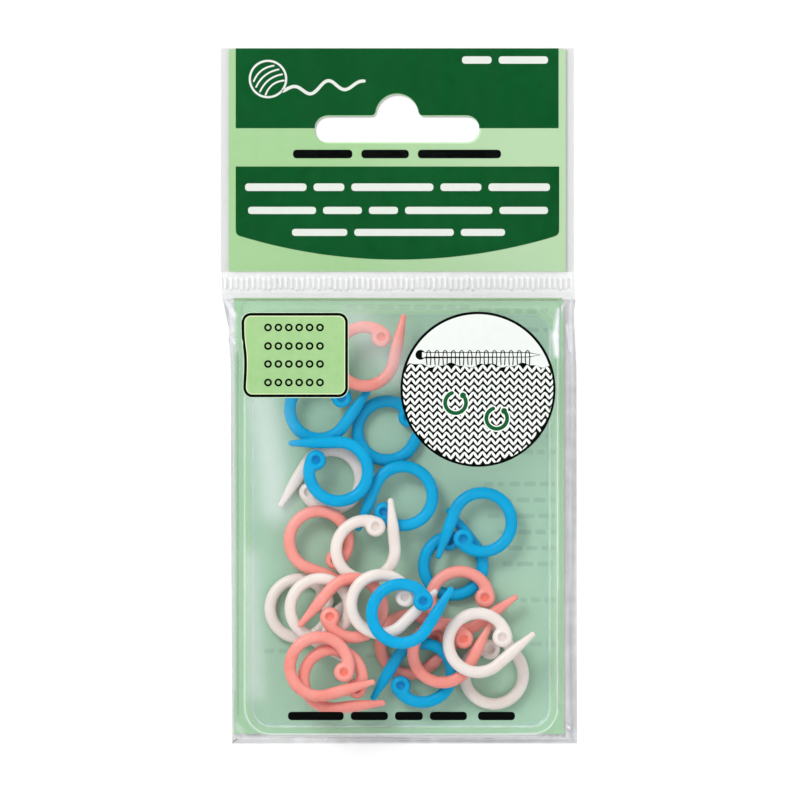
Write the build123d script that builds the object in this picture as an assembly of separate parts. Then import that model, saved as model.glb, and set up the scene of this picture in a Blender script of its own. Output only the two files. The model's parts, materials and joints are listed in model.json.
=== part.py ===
from build123d import *
import math
import os

# A hang pack of split ring stitch markers for knitting and crochet, at rest on its back.
# +Z points out of the front, +Y towards the hang hole and +X to the right. All lengths are in
# millimetres. The origin is the middle of the back face. The pack is a clear film bag with a printed
# card in its header, a crimped weld under the header, a coloured backing card in its pouch, and a
# clear open tray that holds a loose heap of markers in three colours.

# The marker: a split ring with a round eye at one end and a straight pointed tail at the other
ring_diameter = 13.6
wire_width = 2.3
wire_height = 2.0
wire_bevel = 0.6
eye_diameter = 3.9
eye_bevel = 0.45
dimple_diameter = 1.8
dimple_depth = 0.5
split_gap = 0.25
tail_length = 9.6
tail_full_length = 4.4
tip_width = 1.0
tip_height = 0.9
tip_bevel = 0.25
ring_steps = 12
eye_sides = 10
dimple_sides = 6
neck_widening_shares = (1.0, 0.22)

# The heap: how far apart its layers lie, and how far the tray keeps its walls from the heap
layer_gap = 0.1
heap_room_left = 0.9
heap_room_right = 2.35
heap_room_bottom = 2.3
heap_room_top = 0.6
heap_room_above = 0.2

# The clear tray
tray_wall = 0.3
tray_draft = 1.4
tray_corner_radius = 3.6

# The film bag
film = 0.12
film_room = 0.25
left_seal = 1.8
right_seal = 3.0
bottom_seal = 1.2
left_neck = 2.2
right_neck = 0.5
neck_length = 14.0
shoulder_run = 4.4
shoulder_gap = 1.3
dome_edge_radius = 0.6
header_height = 42.9
crimp_height = 5.4

# The crimp's pressed ribs
rib_pitch = 1.06
rib_length = 3.4
rib_height = 0.2
rib_base = 0.08
rib_margin = 0.6

# The two cards
card_thickness = 0.35
card_room = 0.1
header_card_side_margin = 1.5
backing_card_left_margin = 0.26
backing_card_right_margin = 2.4
backing_card_bottom_margin = 1.8

# The hang hole, a long slot with a round hump, which fits a peg or a flat hook
hang_slot_length = 31.7
hang_slot_height = 5.05
hang_hump_radius = 4.2
hang_hump_fillet = 0.9
hang_hole_below_top = 15.6
hang_hole_offset = -0.05

overrun = 1.0

# Where each marker lies: its ring's centre across and up the heap as shares of ring_diameter, the
# angle of its eye in degrees, and its layer, counted from the tray's floor
marker_place_shares = {
    "marker_white_1": (-1.497, 2.372, 33.5, 0),
    "marker_white_2": (-0.960, 0.577, 210.0, 0),
    "marker_white_3": (-1.400, -1.240, 18.0, 0),
    "marker_white_4": (1.340, -2.172, 98.5, 0),
    "marker_white_5": (-0.470, -0.414, 67.0, 2),
    "marker_white_6": (-1.115, -1.238, 297.5, 2),
    "marker_white_7": (1.115, -1.725, 12.5, 3),
    "marker_white_8": (-0.254, -1.178, 16.5, 4),
    "marker_blue_1": (-0.168, 1.269, 33.0, 0),
    "marker_blue_2": (0.767, -0.636, 98.5, 0),
    "marker_blue_3": (-1.124, 1.573, 27.0, 1),
    "marker_blue_4": (0.060, 0.348, 220.0, 1),
    "marker_blue_5": (0.332, -2.148, 211.0, 1),
    "marker_blue_6": (1.176, -0.024, 221.5, 1),
    "marker_blue_7": (-0.852, 0.692, 153.0, 2),
    "marker_blue_8": (0.034, -1.314, 30.0, 5),
    "marker_pink_1": (0.153, -1.748, 11.5, 0),
    "marker_pink_2": (-1.130, -0.283, 311.5, 1),
    "marker_pink_3": (0.862, -1.133, 7.5, 1),
    "marker_pink_4": (-0.481, 2.318, 49.5, 2),
    "marker_pink_5": (0.616, -1.870, 34.5, 2),
    "marker_pink_6": (-0.643, -1.232, 201.5, 3),
    "marker_pink_7": (-0.930, -2.236, 338.0, 3),
    "marker_pink_8": (-1.122, -2.061, 347.5, 4),
}

# Radii and angles of one marker, measured from its ring's centre with the eye at angle 0
ring_radius = ring_diameter / 2
centre_radius = (ring_diameter - wire_width) / 2
eye_radius = eye_diameter / 2
eye_offset = ring_radius - eye_radius
tail_reach = eye_radius + split_gap + wire_width / 2
lead_angle = math.degrees(math.acos((centre_radius - tail_reach) / eye_offset))
tip_angle = math.degrees(math.atan2(tail_length, centre_radius)) - lead_angle
tip_radius = math.hypot(tail_length, centre_radius)


def octagon(plane, width, height, bevel):
    """A bevelled rectangle on a plane, the section of a moulded wire."""
    across, up = width / 2, height / 2
    corners = [
        (across, bevel - up), (across, up - bevel), (across - bevel, up), (bevel - across, up),
        (-across, up - bevel), (-across, bevel - up), (bevel - across, -up), (across - bevel, -up),
    ]
    return plane * Polygon(*corners, align=None)


def wire_plane(angle, radius, along):
    """The plane that cuts the wire at an angle round the ring, moved along its tangent."""
    turn = math.radians(angle)
    outward = Vector(math.cos(turn), math.sin(turn), 0)
    tangent = Vector(-math.sin(turn), math.cos(turn), 0)
    origin = outward * radius + tangent * along + Vector(0, 0, wire_height / 2)
    return Plane(origin=origin, x_dir=outward, z_dir=tangent)


def make_marker():
    """One marker, lying flat on Z = 0 with its eye on +X."""
    sweep_angle = 360 - lead_angle
    sections = []
    for step in range(ring_steps + 1):
        widening = neck_widening_shares[step] if step < len(neck_widening_shares) else 0
        width = wire_width + widening * (eye_diameter - wire_width)
        plane = wire_plane(step * sweep_angle / ring_steps, ring_radius - width / 2, 0)
        sections.append(octagon(plane, width, wire_height, wire_bevel))
    full = wire_plane(sweep_angle, centre_radius, tail_full_length)
    tip = wire_plane(sweep_angle, centre_radius, tail_length)
    sections.append(octagon(full, wire_width, wire_height, wire_bevel))
    sections.append(octagon(tip, tip_width, tip_height, tip_bevel))
    wire = loft(sections, ruled=True)

    eye = extrude(RegularPolygon(eye_radius, eye_sides), wire_height)
    flats = eye.faces().sort_by(Axis.Z)
    eye = chamfer(flats[0].edges() + flats[-1].edges(), eye_bevel)
    dimple = Pos(0, 0, wire_height) * extrude(RegularPolygon(dimple_diameter / 2, dimple_sides), -dimple_depth)
    place = Pos(eye_offset, 0, 0)
    return wire + place * eye - place * dimple


def heap_box():
    """Left, right, bottom and top of the heap, from its rings and its tails' tips."""
    xs, ys = [], []
    for across, up, angle, layer in marker_place_shares.values():
        x, y = across * ring_diameter, up * ring_diameter
        turn = math.radians(angle + tip_angle)
        tip_x, tip_y = x + tip_radius * math.cos(turn), y + tip_radius * math.sin(turn)
        xs += [x - ring_radius, x + ring_radius, tip_x - tip_width / 2, tip_x + tip_width / 2]
        ys += [y - ring_radius, y + ring_radius, tip_y - tip_width / 2, tip_y + tip_width / 2]
    return min(xs), max(xs), min(ys), max(ys)


heap_left, heap_right, heap_bottom, heap_top = heap_box()
layers = 1 + max(layer for across, up, angle, layer in marker_place_shares.values())

# Widths, from the heap outwards
tray_floor_width = heap_room_left + heap_right - heap_left + heap_room_right
tray_floor_length = heap_room_bottom + heap_top - heap_bottom + heap_room_top
wall_run = tray_wall + tray_draft
skin_run = film_room + film
dome_corner_radius = tray_corner_radius + wall_run + skin_run
dome_width = tray_floor_width + 2 * wall_run + 2 * skin_run
pouch_width = left_seal + dome_width + right_seal
film_width = left_neck + pouch_width
pouch_height = tray_wall + shoulder_gap + tray_floor_length + wall_run + skin_run + bottom_seal
film_length = header_height + crimp_height + pouch_height

# Places across the pack
film_left = -film_width / 2
film_right = film_width / 2
header_right = film_right - right_neck
pouch_left = film_left + left_neck
dome_left = pouch_left + left_seal
tray_left = dome_left + skin_run + wall_run
tray_middle = tray_left + tray_floor_width / 2
heap_x = tray_left + heap_room_left - heap_left
header_middle = (film_left + header_right) / 2

# Places along the pack
film_bottom = -film_length / 2
film_top = film_length / 2
crimp_top = film_top - header_height
crimp_bottom = crimp_top - crimp_height
dome_bottom = film_bottom + bottom_seal
tray_bottom = dome_bottom + skin_run + wall_run
tray_top = tray_bottom + tray_floor_length
heap_y = tray_bottom + heap_room_bottom - heap_bottom

# Heights, from the back upwards
card_base = film
card_top = card_base + card_thickness
tray_base = card_top
heap_base = tray_base + tray_wall + layer_gap
layer_pitch = wire_height + layer_gap
heap_height = layers * layer_pitch - layer_gap
tray_rim = heap_base + heap_height + heap_room_above
dome_inside = tray_rim + film_room
dome_top = dome_inside + film


def block(left, right, bottom, top, low, high):
    """A plain box between six places."""
    return Pos(left, bottom, low) * Box(right - left, top - bottom, high - low, align=(Align.MIN,) * 3)


def film_sheet(bottom, top, low):
    """One thickness of the bag's flat film between two places along the pack."""
    neck = crimp_bottom - neck_length
    outline = Polygon(
        (film_left, film_top), (film_left, crimp_bottom), (pouch_left, neck), (pouch_left, film_bottom),
        (film_right, film_bottom), (film_right, neck), (header_right, crimp_bottom), (header_right, film_top),
        align=None,
    )
    sheet = Pos(0, 0, low) * extrude(outline, film)
    return sheet & block(film_left, film_right, bottom, top, low, low + film)


def hang_hole():
    """The cutter for the hang hole, through every layer of the header."""
    slot = SlotOverall(hang_slot_length, hang_slot_height)
    hump = Pos(0, hang_slot_height / 2) * Circle(hang_hump_radius)
    outline = slot + hump
    shoulders = [v for v in outline.vertices() if abs(v.Y - hang_slot_height / 2) < hang_hump_fillet / 2
                 and abs(v.X) < hang_hump_radius + hang_hump_fillet]
    outline = fillet(shoulders, hang_hump_fillet)
    centre_y = film_top - hang_hole_below_top
    cutter = extrude(outline, card_top + film + 2 * overrun)
    return Pos(header_middle + hang_hole_offset, centre_y, -overrun) * cutter


def make_back_film():
    return film_sheet(film_bottom, film_top, 0) - hang_hole()


def header_card_block(room, low, high):
    """The header card's outline, grown by room, between two heights."""
    left = film_left + header_card_side_margin - room
    right = header_right - header_card_side_margin + room
    top = film_top - film - card_room + room
    return block(left, right, crimp_top - room, top, low, high)


def make_header_card():
    return header_card_block(0, card_base, card_top) - hang_hole()


def make_header_film():
    """The front of the header and of the crimp, lifted where it covers the header card."""
    sheet = film_sheet(crimp_bottom, film_top, film)
    cover = header_card_block(card_room + film, film, card_top + film)
    cover = cover & block(film_left, film_right, crimp_bottom, film_top, 0, card_top + film)
    return sheet + cover - header_card_block(card_room, 0, card_top) - hang_hole()


def make_crimp_seal():
    """The weld that joins both films across the pack under the header, pressed into sharp ribs."""
    strip_left, strip_right = film_left + rib_margin, header_right - rib_margin
    count = int((strip_right - strip_left) / rib_pitch)
    first = (strip_left + strip_right - count * rib_pitch) / 2
    low = 2 * film
    valley, ridge = low + rib_base, low + rib_base + rib_height
    outline = [(first, low), (first + count * rib_pitch, low), (first + count * rib_pitch, valley)]
    for rib in reversed(range(count)):
        outline += [(first + (rib + 1 / 2) * rib_pitch, ridge), (first + rib * rib_pitch, valley)]
    band = Plane.XZ * extrude(Polygon(*outline, align=None), rib_length / 2, both=True)
    return Pos(0, (crimp_top + crimp_bottom) / 2, 0) * band


def backing_card_block(room, low, high):
    """The backing card's outline, grown by room, between two heights."""
    left = pouch_left + backing_card_left_margin - room
    right = film_right - backing_card_right_margin + room
    bottom = film_bottom + backing_card_bottom_margin - room
    return block(left, right, bottom, crimp_bottom - film - card_room + room, low, high)


def make_backing_card():
    return backing_card_block(0, card_base, card_top)


def shoulder_shift(inset):
    """How far an inset moves the sloping shoulder along the pack, for an even wall."""
    rise = dome_top - 2 * film
    return inset * math.hypot(rise, shoulder_run) / rise


def shoulder_y(height, inset):
    """Where the shoulder's slope is at a height, with the wall inset from the outside."""
    climb = (height - 2 * film) / (dome_top - 2 * film)
    return crimp_bottom - shoulder_shift(inset) - climb * shoulder_run


def dome(inset, low):
    """The pouch's raised form, inset evenly from its outside, from a height upwards."""
    bottom, high = dome_bottom + inset, dome_top - inset
    profile = Polygon(
        (bottom, low), (shoulder_y(2 * film, inset), low), (shoulder_y(2 * film, inset), 2 * film),
        (shoulder_y(high, inset), high), (bottom, high),
        align=None,
    )
    form = Pos(dome_left + inset, 0, 0) * (Plane.YZ * extrude(profile, dome_width - 2 * inset))
    upright = form.edges().filter_by(Axis.Z)
    corners = [edge for edge in upright if edge.center().Y < dome_bottom + overrun]
    form = fillet(corners, dome_corner_radius - inset)
    crown = form.faces().sort_by(Axis.Z)[-1]
    return fillet(crown.edges(), dome_edge_radius - inset)


def make_pouch_film():
    """The front of the pouch: a flat seal all round, a cover over the card, and the raised form."""
    sheet = film_sheet(film_bottom, crimp_bottom, film)
    cover = backing_card_block(card_room + film, film, card_top + film)
    skin = sheet + cover + dome(0, film)
    return skin - backing_card_block(card_room, 0, card_top) - dome(film, 0)


def tray_outline(grow, height):
    """The tray's rounded outline at a height, grown from its floor's inside."""
    width, length = tray_floor_width + 2 * grow, tray_floor_length + 2 * grow
    outline = RectangleRounded(width, length, tray_corner_radius + grow)
    return Pos(tray_middle, tray_bottom + tray_floor_length / 2, height) * outline


def make_tray():
    """An open clear tray with a drafted wall, cut low at the shoulder so that the film clears it."""
    floor_top = tray_base + tray_wall
    slope = tray_draft / (tray_rim - floor_top)
    outside = loft([tray_outline(tray_wall - slope * tray_wall, tray_base), tray_outline(wall_run, tray_rim)])
    inside = loft([tray_outline(0, floor_top), tray_outline(tray_draft, tray_rim)])
    room = film + film_room
    above = tray_rim + overrun
    clear_of_film = Polygon(
        (crimp_top, 0), (crimp_top, above), (shoulder_y(above, room), above), (shoulder_y(0, room), 0),
        align=None,
    )
    cutter = Pos(film_left, 0, 0) * (Plane.YZ * extrude(clear_of_film, film_width))
    return outside - inside - cutter


parts = {
    "back_film": make_back_film(),
    "header_card": make_header_card(),
    "header_film": make_header_film(),
    "crimp_seal": make_crimp_seal(),
    "backing_card": make_backing_card(),
    "clear_tray": make_tray(),
    "pouch_film": make_pouch_film(),
}

marker = make_marker()
for name, (across, up, angle, layer) in marker_place_shares.items():
    spot = Pos(heap_x + across * ring_diameter, heap_y + up * ring_diameter, heap_base + layer * layer_pitch)
    parts[name] = spot * Rot(0, 0, angle) * marker

os.makedirs("parts", exist_ok=True)
for name, part in parts.items():
    export_step(part, f"parts/{name}.step")

print(f"film {film_width:.2f} x {film_length:.2f}, depth {dome_top:.2f}, lead angle {lead_angle:.1f}")
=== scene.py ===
import bmesh
import bpy
import json
import math
import random
from mathutils import Matrix, Vector, noise


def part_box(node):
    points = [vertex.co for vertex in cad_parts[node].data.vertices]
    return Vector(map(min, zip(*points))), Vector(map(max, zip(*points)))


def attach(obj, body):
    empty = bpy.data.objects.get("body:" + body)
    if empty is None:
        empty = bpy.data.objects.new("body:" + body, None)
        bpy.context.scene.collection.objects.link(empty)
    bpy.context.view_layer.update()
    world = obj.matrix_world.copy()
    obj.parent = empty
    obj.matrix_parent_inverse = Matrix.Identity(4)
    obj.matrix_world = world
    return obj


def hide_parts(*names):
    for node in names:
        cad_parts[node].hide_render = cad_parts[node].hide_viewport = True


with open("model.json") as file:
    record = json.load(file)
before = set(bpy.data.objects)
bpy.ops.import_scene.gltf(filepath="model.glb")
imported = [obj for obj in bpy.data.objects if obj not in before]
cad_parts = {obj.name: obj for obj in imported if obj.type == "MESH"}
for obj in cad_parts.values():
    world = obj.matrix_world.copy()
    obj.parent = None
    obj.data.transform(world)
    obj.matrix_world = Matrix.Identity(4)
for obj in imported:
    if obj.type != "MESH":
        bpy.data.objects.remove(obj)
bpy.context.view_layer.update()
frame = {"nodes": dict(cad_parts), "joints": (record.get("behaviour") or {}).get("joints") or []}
nodes = frame["nodes"]
scene = bpy.context.scene
MM = 0.001

# The photograph's scale in mm per pixel, and the pixel that the part's origin falls on
PX = 0.192
ORIGIN_PX = (398.65, 395.75)


def at(px, py):
    """A place on the pack, in millimetres, from its pixel in the photograph."""
    return (px - ORIGIN_PX[0]) * PX, (ORIGIN_PX[1] - py) * PX


def low_high(node):
    """The two corners of a solid's box, in millimetres."""
    low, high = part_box(node)
    return [v / MM for v in low], [v / MM for v in high]


film_low, film_high = low_high("back_film")
card_low, card_high = low_high("header_card")
green_low, green_high = low_high("backing_card")
tray_low, tray_high = low_high("clear_tray")
pouch_high = low_high("pouch_film")[1]
CRIMP_TOP = card_low[1]
CRIMP_BOTTOM = pouch_high[1]
CARD_TOP = card_high[2]
GREEN_TOP = green_high[2]
DOME_TOP = pouch_high[2]
DOME_LEFT, DOME_RIGHT, DOME_BOTTOM = -30.09, 31.08, -65.54  # the feet of the pouch's walls
SHOULDER = 2.3  # how far along the pack the film takes to climb from the weld
SEAL_TOP = 0.3  # height of the flat film round the pouch


def smooth_step(a, b, x):
    """0 up to a, 1 from b, and an eased climb between them."""
    t = max(0.0, min(1.0, (x - a) / (b - a)))
    return t * t * (3 - 2 * t)


def wobble(x, y, z):
    """Smooth noise, from about -1 to 1."""
    return noise.noise(Vector((x, y, z)))


# ---------------------------------------------------------------- materials
def new_material(name):
    mat = bpy.data.materials.new(name)
    mat.use_nodes = True
    tree = mat.node_tree
    tree.nodes.clear()
    out = tree.nodes.new("ShaderNodeOutputMaterial")
    return mat, tree, out


def node(tree, kind, *inputs, **values):
    """A shader node with its settings, and its inputs by place or name, each linked or set."""
    made = tree.nodes.new(kind)
    inputs = list(enumerate(inputs))
    for key, value in values.items():
        if hasattr(made, key):
            setattr(made, key, value)
        else:
            inputs.append((key.replace("_", " "), value))
    for key, value in inputs:
        if isinstance(value, bpy.types.NodeSocket):
            tree.links.new(value, made.inputs[key])
        else:
            made.inputs[key].default_value = value
    return made


def maths(tree, operation, *values, **settings):
    return node(tree, "ShaderNodeMath", *values, operation=operation, **settings).outputs["Value"]


def blended(tree, factor, a, b):
    """A mix of two colours."""
    return node(tree, "ShaderNodeMix", data_type="RGBA", Factor=factor, A=a, B=b).outputs["Result"]


def cloudy(tree, place, scale, detail, roughness=0.5):
    """Noise over the piece, from 0 to 1."""
    made = node(tree, "ShaderNodeTexNoise", Vector=place, Scale=scale, Detail=detail, Roughness=roughness)
    return made.outputs["Fac"]


def bumped(tree, height, strength, distance):
    """The surface's direction once a fine relief is laid on it."""
    return node(tree, "ShaderNodeBump", Height=height, Strength=strength, Distance=distance).outputs["Normal"]


def rgb(text):
    """A linear colour from a hex code."""
    parts = [int(text[i:i + 2], 16) / 255 for i in (0, 2, 4)]
    return tuple(c / 12.92 if c <= 0.04045 else ((c + 0.055) / 1.055) ** 2.4 for c in parts) + (1.0,)


def ramp(tree, factor, low, high, shade, base):
    """A colour that goes from a shade to its base tone between two values."""
    made = node(tree, "ShaderNodeValToRGB", factor)
    for stop, position, tone in zip(made.color_ramp.elements, (low, high), (shade, base)):
        stop.position, stop.color = position, rgb(tone)
    return made.outputs["Color"]


def plastic(name, base, shade, deep, roughness, specular):
    """Moulded plastic: cloudy in colour and gloss, with a fine grain, and a deeper tone in the dimple ("pit") that is
    painted shade.
    """
    mat, tree, out = new_material(name)
    place = node(tree, "ShaderNodeTexCoord").outputs["Object"]
    cloud = cloudy(tree, place, 160.0, 3.0, 0.6)
    gloss = node(tree, "ShaderNodeMapRange", cloud, To_Min=roughness - 0.06, To_Max=roughness + 0.08)
    pit = node(tree, "ShaderNodeAttribute", attribute_name="pit")
    shader = node(tree, "ShaderNodeBsdfPrincipled", Roughness=gloss.outputs["Result"], Specular_IOR_Level=specular,
                  Base_Color=blended(tree, pit.outputs["Fac"], ramp(tree, cloud, 0.3, 0.62, shade, base), rgb(deep)),
                  Normal=bumped(tree, cloudy(tree, place, 900.0, 2.0), 0.02, 0.0002))
    tree.links.new(shader.outputs["BSDF"], out.inputs["Surface"])
    return mat


def printed(name, base, shade, roughness=0.5, edge=None, gloss=0.3, pale=None):
    """Ink or printed card: a fine mottle, and, where given, a paler tone to the right and a cut edge's tone."""
    mat, tree, out = new_material(name)
    place = node(tree, "ShaderNodeTexCoord").outputs["Object"]
    mottle = cloudy(tree, place, 420.0, 4.0, 0.7)
    both = maths(tree, "ADD", mottle, cloudy(tree, place, 35.0, 2.0))
    colour = ramp(tree, maths(tree, "MULTIPLY", both, 0.5), 0.35, 0.7, shade, base)
    if pale:
        across = node(tree, "ShaderNodeSeparateXYZ", place).outputs["X"]
        reach = node(tree, "ShaderNodeMapRange", across, From_Min=-0.01, From_Max=0.022)
        colour = blended(tree, reach.outputs["Result"], colour, rgb(pale))
    if edge:
        facing = node(tree, "ShaderNodeNewGeometry").outputs["Normal"]
        level = maths(tree, "ABSOLUTE", node(tree, "ShaderNodeSeparateXYZ", facing).outputs["Z"])
        colour = blended(tree, maths(tree, "LESS_THAN", level, 0.5), colour, rgb(edge))
    shader = node(tree, "ShaderNodeBsdfPrincipled", Base_Color=colour, Roughness=roughness,
                  Specular_IOR_Level=gloss, Normal=bumped(tree, mottle, 0.03, 0.0001))
    tree.links.new(shader.outputs["BSDF"], out.inputs["Surface"])
    return mat


def clear(name, tint, haze, streak, haze_colour, rim, attribute=True, fold=(0.27, 0.27, 0.29, 1)):
    """Clear film or thin plastic: what is behind shows through, under a faint haze and a gloss that grows at a slant.
    A piece's points can add to the haze ("haze"), which carries painted highlights and painted shade, and turn its
    colour towards a dull tone ("dull")."""
    mat, tree, out = new_material(name)
    place = node(tree, "ShaderNodeTexCoord").outputs["Object"]
    stretch = node(tree, "ShaderNodeMapping", Vector=place, Scale=(260.0, 60.0, 60.0)).outputs["Vector"]
    cloud = cloudy(tree, stretch, 1.0, 3.0, 0.55)
    amount = node(tree, "ShaderNodeMapRange", cloud, From_Min=0.35, From_Max=0.7, To_Min=haze, To_Max=haze + streak)
    slant = maths(tree, "MULTIPLY", node(tree, "ShaderNodeLayerWeight", Blend=0.25).outputs["Facing"], rim)
    total = maths(tree, "ADD", amount.outputs["Result"], slant)
    shader = node(tree, "ShaderNodeBsdfPrincipled", Base_Color=haze_colour, Roughness=0.16,
                  Specular_IOR_Level=0.8, Normal=bumped(tree, cloud, 0.12, 0.0004))
    if attribute:
        crease_and_painted_light, dull = [node(tree, "ShaderNodeAttribute", attribute_name=key).outputs["Fac"]
                        for key in ("haze", "dull")]
        total = maths(tree, "ADD", total, crease_and_painted_light, use_clamp=True)
        tree.links.new(blended(tree, dull, haze_colour, fold), shader.inputs["Base Color"])
    through = node(tree, "ShaderNodeBsdfTransparent", Color=tint)
    mix = node(tree, "ShaderNodeMixShader", total, through.outputs["BSDF"], shader.outputs["BSDF"])
    tree.links.new(mix.outputs["Shader"], out.inputs["Surface"])
    return mat


FILM_HAZE = (0.93, 0.93, 0.97, 1)
FILM = clear("clear_film", (0.994, 0.993, 0.996, 1), 0.001, 0.004, FILM_HAZE, 0.07)
FILM_FLAT = clear("flat_film", (0.935, 0.937, 0.934, 1), 0.0, 0.002, FILM_HAZE, 0.07, attribute=False)
CRIMP = clear("crimped_film", (0.99, 0.989, 0.992, 1), 0.04, 0.1, (0.985, 0.985, 0.99, 1), 0.2,
              fold=(0.56, 0.58, 0.57, 1))
TRAY = clear("tray_plastic", (0.988, 0.992, 0.994, 1), 0.004, 0.012, (0.6, 0.62, 0.95, 1), 0.08,
             fold=(0.84, 0.95, 0.88, 1))
CARD = printed("header_card_print", "B6DEA9", "AEDA9E", edge="EEF0E6", gloss=0.1, pale="C4E4BA")
BACKING = printed("backing_card_print", "ABD2AE", "A1CAA4", edge="EEF0E6", gloss=0.1)
DARK = printed("dark_green_ink", "0E622F", "085426", 0.5, gloss=0.04)
WHITE_INK = printed("white_ink", "F8FBF6", "EEF4EC", 0.45)
BLACK_INK = printed("black_ink", "050806", "030504", 0.6, gloss=0.03)
LABEL = printed("label_green_ink", "ADCF95", "99C385", 0.42, gloss=0.1)
CREAM = printed("pale_ink", "EAEDE9", "E1E6E2", 0.42)
PALE_LINE = printed("pale_green_line", "CFE9CC", "C4E2C2", 0.42)
CREAM_LINE = printed("cream_line", "E2EEBE", "D6E8B2", 0.42)
GHOST = printed("show_through_ink", "9AC29E", "92BA97", 0.55)
TOP_SHADE = printed("backing_shade", "94BC88", "88B07E", 0.55)
RING_INK = printed("ring_green_ink", "0C6030", "085326", 0.42, gloss=0.1)
# the third colour of each is the deeper tone of the eye's dimple, a painted shade
PLASTICS = {
    "white": plastic("white_plastic", "ECE3DC", "E3D8CF", "DDD0C8", 0.3, 0.4),
    "blue": plastic("blue_plastic", "00A8DC", "009CD0", "007EBA", 0.26, 0.09),
    "pink": plastic("pink_plastic", "F19B90", "EC897D", "EE7A68", 0.28, 0.3),
}


# ---------------------------------------------------------------- mesh makers
def finish_piece(name, mesh, mat, slot, body="pack", smooth=True):
    """An object for a mesh in metres, with its material, riding on a body; the slot's name only decides whether it
    casts shadows.
    """
    obj = bpy.data.objects.new(name, mesh)
    scene.collection.objects.link(obj)
    mesh.materials.clear()
    mesh.materials.append(mat)
    mesh.polygons.foreach_set("use_smooth", [smooth] * len(mesh.polygons))
    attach(obj, body)
    obj.visible_shadow = slot not in ("clear_film", "clear_tray_plastic")  # clear film throws next to none
    return obj


def piece(name, verts, faces, mat, slot, smooth=True):
    """A piece of the pack from points in millimetres."""
    mesh = bpy.data.meshes.new(name)
    mesh.from_pydata([(x * MM, y * MM, z * MM) for x, y, z in verts], [], faces)
    mesh.update()
    return finish_piece(name, mesh, mat, slot, smooth=smooth)


def quads(rows, count, base=0, closed=True):
    """Faces between rows of points, which run right round where the rows are closed."""
    return [(base + r * count + k, base + r * count + (k + 1) % count,
             base + (r + 1) * count + (k + 1) % count, base + (r + 1) * count + k)
            for r in range(rows - 1) for k in range(count if closed else count - 1)]


def sheet(name, rows, mat, slot, haze, dull, thickness, closed=True):
    """A thin clear shell over rows of points, the last one filled where they are closed rings. Each point
    has its own haze and how dull that haze is."""
    count = len(rows[0])
    faces = quads(len(rows), count, closed=closed)
    if closed:
        faces.append(tuple((len(rows) - 1) * count + k for k in range(count)))
    obj = piece(name, [p for row in rows for p in row], faces, mat, slot)
    for key, values in (("haze", haze), ("dull", dull)):
        layer = obj.data.attributes.new(key, "FLOAT", "POINT")
        layer.data.foreach_set("value", [v for row in values for v in row])
    solid = obj.modifiers.new("thickness", "SOLIDIFY")
    solid.thickness, solid.offset = thickness * MM, -1
    return obj


def cut_for_drape(mesh):
    """Cuts a flat mesh across wherever the film under it bends: along the shoulder and beside the walls."""
    work = bmesh.new()
    work.from_mesh(mesh)
    shoulder, shoulder_step, wall_step = CRIMP_BOTTOM - SHOULDER - 1.2, 0.35, 0.2
    bends = [((0, shoulder + shoulder_step * i, 0), (0, 1, 0)) for i in range(17)]
    bends += [((DOME_LEFT + wall_step * i, 0, 0), (1, 0, 0)) for i in range(9)]
    bends += [((0, DOME_BOTTOM + wall_step * i, 0), (0, 1, 0)) for i in range(9)]
    for place, facing in bends:
        every = work.verts[:] + work.edges[:] + work.faces[:]
        bmesh.ops.bisect_plane(work, geom=every, plane_co=place, plane_no=facing)
    work.to_mesh(mesh)
    work.free()


def plate(name, loops, low, thick, mat, slot, drape=None):
    """A thin flat shape from closed loops in millimetres; a loop inside another is a hole. drape gives the
    height of what it lies on."""
    curve = bpy.data.curves.new(name, "CURVE")
    curve.dimensions, curve.fill_mode = "2D", "BOTH"
    curve.extrude = thick / 2
    for loop in loops:
        line = curve.splines.new("POLY")
        line.points.add(len(loop) - 1)
        for point, (x, y) in zip(line.points, loop):
            point.co = (x, y, 0, 1)
        line.use_cyclic_u = True
    holder = bpy.data.objects.new(name + "_outline", curve)
    scene.collection.objects.link(holder)
    bpy.context.view_layer.update()
    mesh = bpy.data.meshes.new_from_object(holder.evaluated_get(bpy.context.evaluated_depsgraph_get()))
    bpy.data.objects.remove(holder)
    bpy.data.curves.remove(curve)
    mesh.name = name
    if drape:
        cut_for_drape(mesh)
    for v in mesh.vertices:
        lift = low + thick / 2 + (drape(v.co.x, v.co.y) if drape else 0)
        v.co = Vector((v.co.x, v.co.y, v.co.z + lift)) * MM
    mesh.update()
    return finish_piece(name, mesh, mat, slot, smooth=False)


def arc(cx, cy, radius, start, end, steps):
    """Points on an arc, with angles in degrees."""
    turns = [math.radians(start + (end - start) * i / steps) for i in range(steps + 1)]
    return [(cx + radius * math.cos(t), cy + radius * math.sin(t)) for t in turns]


def circle(cx, cy, radius, steps=48):
    return arc(cx, cy, radius, 0, 360, steps)[:-1]


def round_box(left, right, bottom, top, radius, steps):
    """A rounded rectangle's loop."""
    return (arc(right - radius, top - radius, radius, 0, 90, steps)
            + arc(left + radius, top - radius, radius, 90, 180, steps)
            + arc(left + radius, bottom + radius, radius, 180, 270, steps)
            + arc(right - radius, bottom + radius, radius, 270, 360, steps))


def turned(cx, cy, u, v, turn):
    """A place near a centre, from its distances along two axes turned by an angle."""
    return cx + u * math.cos(turn) - v * math.sin(turn), cy + u * math.sin(turn) + v * math.cos(turn)


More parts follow.
